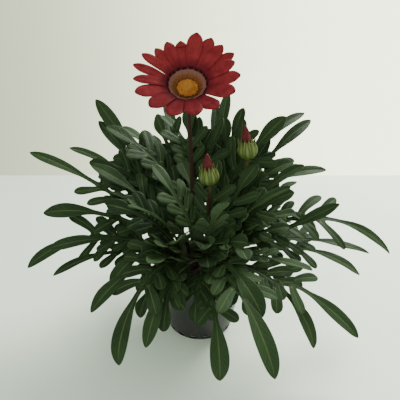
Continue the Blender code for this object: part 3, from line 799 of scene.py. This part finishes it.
def make_shoot(name, shoot, draw):
    (x, y), azimuth, lean, height, leaves = shoot
    run = bent_run((x, y, SOIL_TOP), azimuth, 90, 90 - lean, 0, height, STEM_STEPS)[0]
    blades = Sheet("across", "lobe_across", "along", "tint")
    ribs = Sheet("across", "along")
    for share, *row in leaves:
        add_leaf(blades, ribs, on_run(run, share), row, draw, TILT, OUTER_LOBES)
    inner = Sheet("across", "lobe_across", "along", "tint")
    for count, *ranges in INNER_LEAVES[name]:
        for order in range(count):
            row = [look.uniform(*span) for span in ranges]
            row[0] = ranges[0][0] + (ranges[0][1] - ranges[0][0]) * (order + 0.5) / count + look.uniform(-6, 6)
            share = 0.55 + 0.42 * (order + 1) / count
            row = (*row, INNER_PAIRS, look.uniform(-INNER_SWERVE, INNER_SWERVE))
            add_leaf(inner, ribs, on_run(run, share), row, look, INNER_TILT, INNER_LOBES)
    path = curved([Vector((x, y, SOIL_TOP - 12)), *run], 4)
    radii = [SHOOT_RADIUS * (1.05 - 0.4 * index / len(path)) for index in range(len(path))]
    add_tube(ribs, path, radii, 14, (0, 0.3))
    piece = new_piece(name + "_blades", blades, name, "leaf", LEAF_TOP, LEAF_UNDER)
    refine(piece, 2, BLADE)
    piece = new_piece(name + "_inner", inner, name, "leaf", LEAF_TOP, LEAF_UNDER)
    refine(piece, 1, BLADE)
    new_piece(name + "_ribs", ribs, name, "leaf", LEAF_RIB)


HEAD = Matrix.Translation(Vector(HEAD_CENTRE)) @ Matrix.Rotation(HEAD_TILT, 4, "X")


def circle(radius, height, sides):
    """Places evenly round the Z axis."""
    angles = [2 * math.pi * turn / sides for turn in range(sides)]
    return [Vector((radius * math.cos(angle), radius * math.sin(angle), height)) for angle in angles]


def add_lathe(sheet, profile, sides, matrix, values, flip=False, capped=True):
    """A profile of (radius, height) turned about Z and moved by the matrix."""
    rows = [[sheet.add(matrix @ place, *values(radius)) for place in circle(radius, height, sides)]
            for radius, height in profile]
    sheet.skin(rows, flip, capped)


def petal_rows(reach, width, lift, share):
    """Rows of (out, height, breadth) from foot to tip; share is the petal's own angle of the ring."""
    foot = 1.14 * share
    return ((9.6, 0.9, 9.6 * foot), (10.6, 2.6, 10.6 * foot), (12.4, 4.8, 12.4 * foot),
            (14.6, 6.8 + 0.2 * lift, 14.6 * foot), (17, 8.7 + 0.4 * lift, 17 * foot),
            (20, 10.5 + 0.7 * lift, max(18.5 * foot, 0.66 * width)),
            (24, 12.4 + lift, max(20 * foot, 0.82 * width)), (28.5, 14.4 + lift, 0.96 * width),
            (33, 16 + lift, width),
            (0.85 * reach + 0.4, 17.4 + lift, 0.93 * width), (0.92 * reach, 18.3 + lift, 0.72 * width),
            (0.965 * reach, 18.8 + lift, 0.46 * width), (0.99 * reach, 19 + lift, 0.2 * width),
            (reach, 19 + lift, 0.05 * width))


def make_rays():
    """Eighteen ray petals on their ring, each with two lengthwise folds and a pointed round tip."""
    sheet = Sheet("out", "across", "tint", "tip")
    for index, (angle, reach, width, layer) in enumerate(PETALS):
        before = (angle - PETALS[index - 1][0]) % 360
        after = (PETALS[(index + 1) % len(PETALS)][0] - angle) % 360
        share = math.radians(before + after) / 2
        turn = HEAD @ Matrix.Rotation(math.radians(angle), 4, "Z")
        # Painted light and shade: most of the tint comes from the petal's angle round the head, high at the
        # back and low at the front
        tint = PETAL_DRAWN_SHARE * look.random() + (1 - PETAL_DRAWN_SHARE) * (0.5 + 0.5 * math.sin(math.radians(angle)))
        curl = look.uniform(-1.5, 0.3)
        lean = look.uniform(-0.8, 0.8)
        near = None
        for out, height, breadth in petal_rows(reach, width, PETAL_LIFT * layer, share):
            part = max(0, (out - 15) / (reach - 15))
            line = []
            for column in (-1, -0.55, 0, 0.55, 1):
                fold = 0.45 * (abs(column) == 0.55) - 0.35 * (column == 0) - 0.5 * (abs(column) == 1)
                cup = 0.5 * column * column * min(1, part * 3) * (1 - part)
                place = Vector((out, column * breadth / 2 + lean * part * part,
                                height + fold * min(1, 0.3 + part * 2) + cup + curl * part ** 3))
                line.append(sheet.add(turn @ place, out, column, tint, out / reach))
            if near:
                sheet.bridge(near, line, flip=True)
            near = line
    piece = new_piece("ray_petals", sheet, "flower_rays", "ray_petal", PETAL_FACE, PETAL_BACK)
    refine(piece, 2, 0.5)
    ring = Sheet("out", "across", "tint", "tip")
    inner = DISC_RADIUS + GAP
    profile = ((inner, 1.4), (inner + 0.3, 2.2), (10.2, 2.5), (11.4, 2.2), (RING_RADIUS, 1.3),
               (11.4, 0.4), (10, GAP), (inner, 0.6), (inner, 1.4))
    add_lathe(ring, profile, 72, HEAD, lambda radius: (12, 0.5, 0.5, 0), capped=False)
    new_piece("ray_ring", ring, "flower_rays", "ray_petal", PETAL_FACE)


def dome_height(radius):
    return DISC_HEIGHT * (0.22 + 0.62 * math.sqrt(max(0, 1 - 0.85 * (radius / DISC_RADIUS) ** 2)))


def add_filament(sheet, path, radii):
    """A thin open outer floret; its out value keeps it in the disc's deeper orange."""
    first = len(sheet.points)
    add_tube(sheet, path, radii, 7)
    for index in range(first, len(sheet.points)):
        sheet.channels["out"][index] = DISC_RADIUS + 0.8
        # A raised rise value keeps the filaments out of most of the painted shade at the florets' feet
        sheet.channels["rise"][index] = 0.45 + 0.5 * sheet.channels["rise"][index]


def add_floret(sheet, radius, angle):
    """An open floret: a short tube that flares into lobes round a sunk middle."""
    tall = look.uniform(0.9, 1.5)
    tip = 0.24 if radius < 5.5 else 0.5
    foot = Vector((radius * math.cos(angle), radius * math.sin(angle), dome_height(min(radius, 8)) - 0.9))
    lean = Vector((math.cos(angle), math.sin(angle), 0)) * (0.09 * radius)
    up = (Vector((0, 0, 1)) + lean).normalized()
    side = up.orthogonal().normalized()
    other = up.cross(side)
    rows = []
    profile = ((0, 0.34), (0.5, 0.42), (0.85, 0.46 + 0.1 * (tip > 0.3)), (1, tip), (0.88, 0.5 * tip))
    for rise, wide in profile:
        centre = foot + up * rise * (tall + 0.5)
        ring = []
        for turn in range(FLORET_SIDES):
            flare = 1 + 0.22 * (turn % 2) * (rise >= 0.85)
            bearing = 2 * math.pi * turn / FLORET_SIDES
            place = centre + (side * math.cos(bearing) + other * math.sin(bearing)) * wide * flare
            ring.append(sheet.add(HEAD @ place, radius, rise))
        rows.append(ring)
    sheet.skin(rows)


def make_disc():
    """Open florets along a sunflower spiral on a low dome, and thin ones round its edge."""
    sheet = Sheet("out", "rise")
    profile = [(0.05, DISC_HEIGHT - 0.5)]
    profile.extend((DISC_RADIUS * share, dome_height(DISC_RADIUS * share) - 0.5)
                   for share in (0.2, 0.4, 0.6, 0.8, 0.93, 1))
    profile.extend(((DISC_RADIUS, 1), (DISC_RADIUS - 0.4, GAP), (0.05, GAP)))
    # The dome's low rise value puts it in the painted shade between the florets
    add_lathe(sheet, profile, 48, HEAD, lambda radius: (radius, 0.1), flip=True)
    for index in range(FLORETS):
        radius = FLORET_PITCH * math.sqrt(index + 0.4)
        if radius <= DISC_RADIUS - 0.3:
            add_floret(sheet, radius, index * GOLDEN_ANGLE)
    for index in range(FILAMENTS):
        angle = 2 * math.pi * (index + look.uniform(-0.3, 0.3)) / FILAMENTS
        way = Vector((math.cos(angle), math.sin(angle), 0))
        foot = way * (DISC_RADIUS + 0.9)
        tall = look.uniform(2.6, 3.8)
        lean = look.uniform(0.25, 0.75)
        path = [HEAD @ (foot + Vector((0, 0, 1.2)) + (way * lean * part + Vector((0, 0, 1))) * tall * part)
                for part in (0, 0.35, 0.7, 0.92, 1)]
        add_filament(sheet, path, (0.28, 0.3, 0.34, 0.42, 0.2))
    new_piece("disc_florets", sheet, "flower_disc", "disc_floret", FLORET)


def add_bract(sheet, matrix, angle, spread_angle, rows, phase):
    """A bract that hugs a cup: rows of (radius, height, share of its width), from foot to tip."""
    near = None
    for index, (radius, height, breadth) in enumerate(rows):
        along = index / (len(rows) - 1)
        line = []
        for column in (-1, -0.5, 0, 0.5, 1):
            bearing = angle + column * 0.5 * spread_angle * breadth + phase * along * along
            bulge = 0.35 * (1 - column * column)
            place = Vector(((radius + bulge) * math.cos(bearing), (radius + bulge) * math.sin(bearing), height))
            line.append(sheet.add(matrix @ place, column, along))
        if near:
            sheet.bridge(near, line)
        near = line


def make_cup(sheet, matrix, radius, depth, count, free):
    """Two overlapping rings of bracts round a cup whose mouth is at the matrix's origin."""
    step = 2 * math.pi / count
    outer = ((0.42, -1.0, 0.8), (0.74, -0.92, 1), (1.0, -0.76, 1), (1.08, -0.58, 1), (1.0, -0.42, 0.88),
             (0.90, -0.28, 0.62), (0.86, -0.15, 0.36), (0.90, -0.04, 0.15), (0.97, 0.04, 0.03))
    inner = ((0.40, -0.98, 0.8), (0.70, -0.88, 1), (0.95, -0.7, 1), (0.99, -0.5, 1), (0.86, -0.34, 0.88),
             (0.72, -0.2, 0.64), (0.62, -0.09, 0.38), (0.58, 0.0, 0.14), (0.58, 0.06, 0.03))
    for rows, shift, wide, loose in ((inner, 0.5, 1.25, 0.0), (outer, 0.0, 1.12, free)):
        for index in range(count):
            tall = look.uniform(0.9, 1.12)
            out = look.uniform(0.0, loose)
            shaped = [(radius * (wide_at + out * max(0, height + 0.1)),
                       depth * height * (tall if height > 0 else 1),
                       breadth) for wide_at, height, breadth in rows]
            add_bract(sheet, matrix, (index + shift) * step, step * wide, shaped, look.uniform(-0.12, 0.12))


def facing(centre, way):
    """Matrix that puts +Z along way and the origin at centre, given in millimetres."""
    return Matrix.Translation(Vector(centre)) @ Vector(way).to_track_quat("Z", "Y").to_matrix().to_4x4()


def dress_cup(name, node, slot, matrix, radius, depth, body, count, free):
    """The fleshy body of a cup, and the bracts that wrap it."""
    cup = Sheet("across", "along")
    add_lathe(cup, body, 40, matrix, lambda radius: (1, 0.3))
    new_piece(name + "_cup", cup, node, slot, BRACT)
    bracts = Sheet("across", "along")
    make_cup(bracts, matrix, radius, depth, count, free)
    refine(new_piece(name + "_bracts", bracts, node, slot, BRACT, BRACT_INSIDE), 1, BRACT_BLADE)


def make_stalk(name, points, radius, flare, finish, node, slot):
    """A ribbed stalk, a little thicker at its foot and under its cup."""
    path = curved(points, 8)
    radii = []
    for index in range(len(path)):
        part = index / (len(path) - 1)
        radii.append(radius * (1.08 - 0.16 * math.sin(math.pi * part) + flare * part ** 12))
    sheet = Sheet("across", "along")
    add_tube(sheet, path, radii, 20)
    new_piece(name, sheet, node, slot, finish)


def make_head_stalk():
    end = HEAD @ Vector((0, 0, 2 - CUP_DEPTH))
    make_stalk("head_stalk", (*HEAD_STALK, end), STALK_RADIUS, 0.35, STALK, "flower_stalk", "stalk")
    body = ((0.2, -CUP_DEPTH), (0.42 * CUP_RADIUS, -0.93 * CUP_DEPTH), (0.8 * CUP_RADIUS, -0.62 * CUP_DEPTH),
            (0.97 * CUP_RADIUS, -0.28 * CUP_DEPTH), (0.97 * CUP_RADIUS, -0.02 * CUP_DEPTH), (0.2, -0.02))
    dress_cup("head", "flower_stalk", "stalk", HEAD, CUP_RADIUS, CUP_DEPTH, body, HEAD_BRACTS, 0.35)


def make_bud(name, points):
    *stalk_points, bottom, top, tip = points
    rise = Vector(top) - Vector(bottom)
    depth = rise.length
    matrix = facing(top, rise)
    run = (*stalk_points, Vector(bottom) + rise * 0.1)
    make_stalk(name + "_stem", run, 0.9 * STALK_RADIUS, 0.5, BUD_STALK, name + "_stalk", "bud_green")
    body = ((0.2, -1.05 * depth), (0.4 * BUD_RADIUS, -depth), (0.78 * BUD_RADIUS, -0.75 * depth),
            (0.94 * BUD_RADIUS, -0.5 * depth), (0.62 * BUD_RADIUS, -0.22 * depth), (0.2, -0.3 * depth))
    dress_cup(name, name + "_stalk", "bud_green", matrix, BUD_RADIUS, depth, body, BUD_BRACTS, 0.5)
    reach = (Vector(tip) - Vector(top)).length
    root = 0.5 * BUD_RADIUS - GAP
    shape = ((-0.3 * depth, 0.95), (-0.1 * depth, 1.1), (0.15 * reach, 1.08), (0.35 * reach, 0.98),
             (0.55 * reach, 0.82), (0.75 * reach, 0.6), (0.9 * reach, 0.36), (reach, 0.1))
    rolled = Sheet("across", "along")
    rows = []
    for level in range(ROLL_RINGS + 1):
        part = level / ROLL_RINGS
        spot = part * (len(shape) - 1)
        index = min(int(spot), len(shape) - 2)
        (low, thin), (high, thick) = shape[index:index + 2]
        height = low + (high - low) * (spot - index)
        radius = root * (thin + (thick - thin) * (spot - index))
        ring = []
        for turn in range(ROLL_SIDES):
            share = turn / ROLL_SIDES
            wrap = (ROLL_WRAPS * share + ROLL_SWIRL * part) % 1
            step = 1 - ROLL_STEP * wrap ** 0.7
            angle = 2 * math.pi * share
            place = Vector((radius * step * math.cos(angle), radius * step * math.sin(angle), height))
            ring.append(rolled.add(matrix @ place, wrap * 2 - 1, part))
        rows.append(ring)
    rolled.skin(rows)
    new_piece(name + "_roll", rolled, name + "_petals", "bud_petal", ROLLED)


def wall_radius(height):
    """Outer radius of the pot's cone at a height."""
    below_lip = POT_HEIGHT - LIP_HEIGHT
    return BASE_RADIUS + (RIM_RADIUS - LIP_STEP - BASE_RADIUS) * min(height, below_lip) / below_lip


def make_pot():
    floor_top = FLOOR_LEVEL + WALL
    shoulder = POT_HEIGHT - LIP_HEIGHT
    foot = wall_radius(FLOOR_LEVEL) - WALL
    profile = [
        (0.05, 0.0), (BOSS_RADIUS - 0.4, 0.0), (BOSS_RADIUS, 0.4), (BOSS_RADIUS + 1, FLOOR_LEVEL),
        (foot, FLOOR_LEVEL), (BASE_RADIUS - WALL, 0.3), (BASE_RADIUS - WALL + 0.3, 0.0),
        (BASE_RADIUS - 0.3, 0.0), (BASE_RADIUS, 0.3),
    ]
    for height in (SLOT_BOTTOM, SLOT_TOP, 8, 14, 22, 30, 38, 46, 54, 62, shoulder - 0.6):
        profile.append((wall_radius(height), height))
    profile.extend((
        (wall_radius(shoulder) + 0.3, shoulder - 0.1), (RIM_RADIUS - 0.4, shoulder + 0.2),
        (RIM_RADIUS, shoulder + 0.8), (RIM_RADIUS, POT_HEIGHT - 0.9), (RIM_RADIUS - 0.25, POT_HEIGHT - 0.3),
        (RIM_RADIUS - 0.75, POT_HEIGHT), (RIM_RADIUS - WALL + 0.25, POT_HEIGHT - 0.3),
        (RIM_RADIUS - WALL, POT_HEIGHT - 0.9), (RIM_RADIUS - WALL, shoulder + LIP_STEP + 0.4),
        (wall_radius(shoulder) - WALL, shoulder), (wall_radius(30) - WALL, 30),
        (wall_radius(floor_top) - WALL, floor_top), (0.05, floor_top),
    ))
    sheet = Sheet()
    add_lathe(sheet, profile, POT_SIDES, Matrix(), lambda radius: ())
    pot = new_piece("nursery_pot", sheet, "pot", "pot_plastic")
    cutter_mesh = bpy.data.meshes.new("slots")
    bm = bmesh.new()
    for index in range(SLOT_COUNT):
        turn = Matrix.Rotation(2 * math.pi * (index + 0.5) / SLOT_COUNT, 4, "Z")
        size = Matrix.Diagonal((8, SLOT_WIDTH, SLOT_TOP - SLOT_BOTTOM, 1))
        move = Matrix.Translation((BASE_RADIUS - WALL / 2, 0, (SLOT_TOP + SLOT_BOTTOM) / 2))
        bmesh.ops.create_cube(bm, size=1, matrix=turn @ move @ size)
    bmesh.ops.scale(bm, vec=(MM, MM, MM), verts=bm.verts)
    bm.to_mesh(cutter_mesh)
    bm.free()
    cutter = add_object("slots", cutter_mesh)
    cut = pot.modifiers.new("slots", "BOOLEAN")
    cut.operation = "DIFFERENCE"
    cut.object = cutter
    bpy.context.view_layer.update()
    graph = bpy.context.evaluated_depsgraph_get()
    mesh = bpy.data.meshes.new_from_object(pot.evaluated_get(graph))
    mesh.shade_smooth()
    mesh.set_sharp_from_angle(angle=math.radians(38))
    mesh.materials.clear()
    mesh.materials.append(POT)
    pot.modifiers.clear()
    pot.data = mesh
    bpy.data.objects.remove(cutter, do_unlink=True)


def lumps(x, y, scale):
    return noise.noise(Vector((x / scale, y / scale, scale)))


def soil_height(x, y, edge):
    share = min(1, math.hypot(x, y) / edge)
    rough = 1.3 * lumps(x, y, 9) + 0.9 * lumps(x, y, 3.5) + 0.5 * lumps(x, y, 1.6)
    return SOIL_TOP + SOIL_DOME * (1 - share * share) + rough * (1 - share ** 8)


def add_crumb(sheet, centre, size, squash, tint):
    """An irregular crumb made from a small ball."""
    bm = bmesh.new()
    bmesh.ops.create_icosphere(bm, subdivisions=2 if size > 1.2 else 1, radius=1)
    shift = Vector((look.uniform(0, 50), look.uniform(0, 50), look.uniform(0, 50)))
    turn = Matrix.Rotation(look.uniform(0, 6.3), 3, Vector((look.uniform(-1, 1), look.uniform(-1, 1), 1)))
    first = len(sheet.points)
    for vertex in bm.verts:
        bumpy = vertex.co * (1 + 0.55 * noise.noise(vertex.co * 1.4 + shift))
        bumpy = turn @ Vector((bumpy.x * squash, bumpy.y, bumpy.z / squash)) * size
        sheet.add(centre + bumpy, tint)
    for face in bm.faces:
        sheet.faces.append(tuple(first + vertex.index for vertex in face.verts))
    bm.free()


def make_soil():
    floor = FLOOR_LEVEL + WALL + GAP
    edge = wall_radius(SOIL_TOP) - WALL - GAP
    sheet = Sheet("tint")
    rows = []
    for ring in range(SOIL_RINGS + 1):
        places = circle(max(0.3, edge * ring / SOIL_RINGS), 0, SOIL_SIDES)
        rows.append([sheet.add((x, y, soil_height(x, y, edge)), 0.3 + 0.4 * lumps(x, y, 5))
                     for x, y, _ in places])
    for radius in (wall_radius(floor) - WALL - GAP, 0.3):
        rows.append([sheet.add(place, 0.3) for place in circle(radius, floor, SOIL_SIDES)])
    sheet.skin(rows, flip=True)
    for _ in range(CRUMBS):
        radius = (edge - 3) * math.sqrt(look.random())
        angle = look.uniform(0, 2 * math.pi)
        x = radius * math.cos(angle)
        y = radius * math.sin(angle)
        size = look.choice((0.6, 0.7, 0.9, 0.9, 1.3, 1.9))
        centre = Vector((x, y, soil_height(x, y, edge) + 0.25 * size))
        add_crumb(sheet, centre, size, look.choice((1, 1.1, 1.3, 2.0)), look.random())
    new_piece("peat_top", sheet, "soil", "peat", PEAT)


def make_floor():
    mesh = bpy.data.meshes.new("floor")
    corners = ((-FLOOR_REACH, -FLOOR_REACH, 0), (FLOOR_REACH, -FLOOR_REACH, 0),
               (FLOOR_REACH, TABLE_EDGE, 0), (-FLOOR_REACH, TABLE_EDGE, 0))
    mesh.from_pydata(corners, [], [(0, 1, 2, 3)])
    tree = Finish("pale_floor", 0.3, 0.55)
    blotches = tree.grain(5, 60)[0]
    shade = tree.mixed(blotches, (0.745, 0.860, 0.70), (0.775, 0.890, 0.73))
    mesh.materials.append(tree.dress(shade))
    floor = add_object("floor", mesh)


def add_light(name, place, target, size, power, colour):
    light = bpy.data.lights.new(name, "AREA")
    light.shape = "DISK"
    light.size = size
    light.energy = power
    light.color = colour
    lamp = add_object(name, light)
    lamp.location = place
    lamp.rotation_euler = (Vector(target) - Vector(place)).to_track_quat("-Z", "Y").to_euler()


def make_studio():
    """Pale world, soft light from the back right, a weak fill, and the camera at the photo's angle."""
    world = bpy.data.worlds.new("studio")
    world.use_nodes = True
    bpy.context.scene.world = world
    tree = Nodes(world.node_tree)
    glow = world.node_tree.nodes["Background"]
    glow.inputs["Color"].default_value = (0.92, 0.97, 0.90, 1)
    glow.inputs["Strength"].default_value = WORLD_STRENGTH
    # Painted light: the backdrop that the camera sees brightens from left to right and lights nothing, while
    # the plain glow lights the scene
    way = tree.add("ShaderNodeTexCoord").outputs["Generated"]
    sideways = tree.add("ShaderNodeSeparateXYZ", {0: way}).outputs["X"]
    painted_backdrop_light = tree.mixed(tree.spread(sideways, -0.5, 0.45), (0.96, 1.05, 0.74), (3.9, 4.3, 2.95))
    seen = tree.add("ShaderNodeBackground", {"Color": painted_backdrop_light})
    first_ray = tree.add("ShaderNodeLightPath").outputs["Is Camera Ray"]
    both = tree.add("ShaderNodeMixShader", {0: first_ray, 1: glow.outputs[0], 2: seen.outputs[0]})
    tree.link(both.outputs[0], world.node_tree.nodes["World Output"].inputs["Surface"])
    add_light("window", (0.65, 0.8, 1.05), (0, 0, 0.1), 0.7, 46, (1.0, 1.0, 0.96))
    add_light("fill", (-0.15, -0.75, 0.65), (0, 0, 0.14), 0.8, 3.4, (0.97, 1.0, 0.99))
    lens = bpy.data.cameras.new("camera")
    lens.lens = LENS
    lens.sensor_width = SENSOR
    lens.clip_start = 0.01
    camera = add_object("camera", lens)
    camera.location = CAMERA_PLACE
    camera.rotation_euler = (CAMERA_PITCH, 0, 0)
    bpy.context.scene.camera = camera


make_studio()
make_floor()
make_pot()
make_soil()
shared_draw = random.Random(SEED)
for shoot_name, shoot_row in SHOOTS.items():
    make_shoot(shoot_name, shoot_row, shared_draw)
make_head_stalk()
make_rays()
make_disc()
for bud_name, bud_points in BUDS.items():
    make_bud(bud_name, bud_points)

bpy.context.view_layer.update()
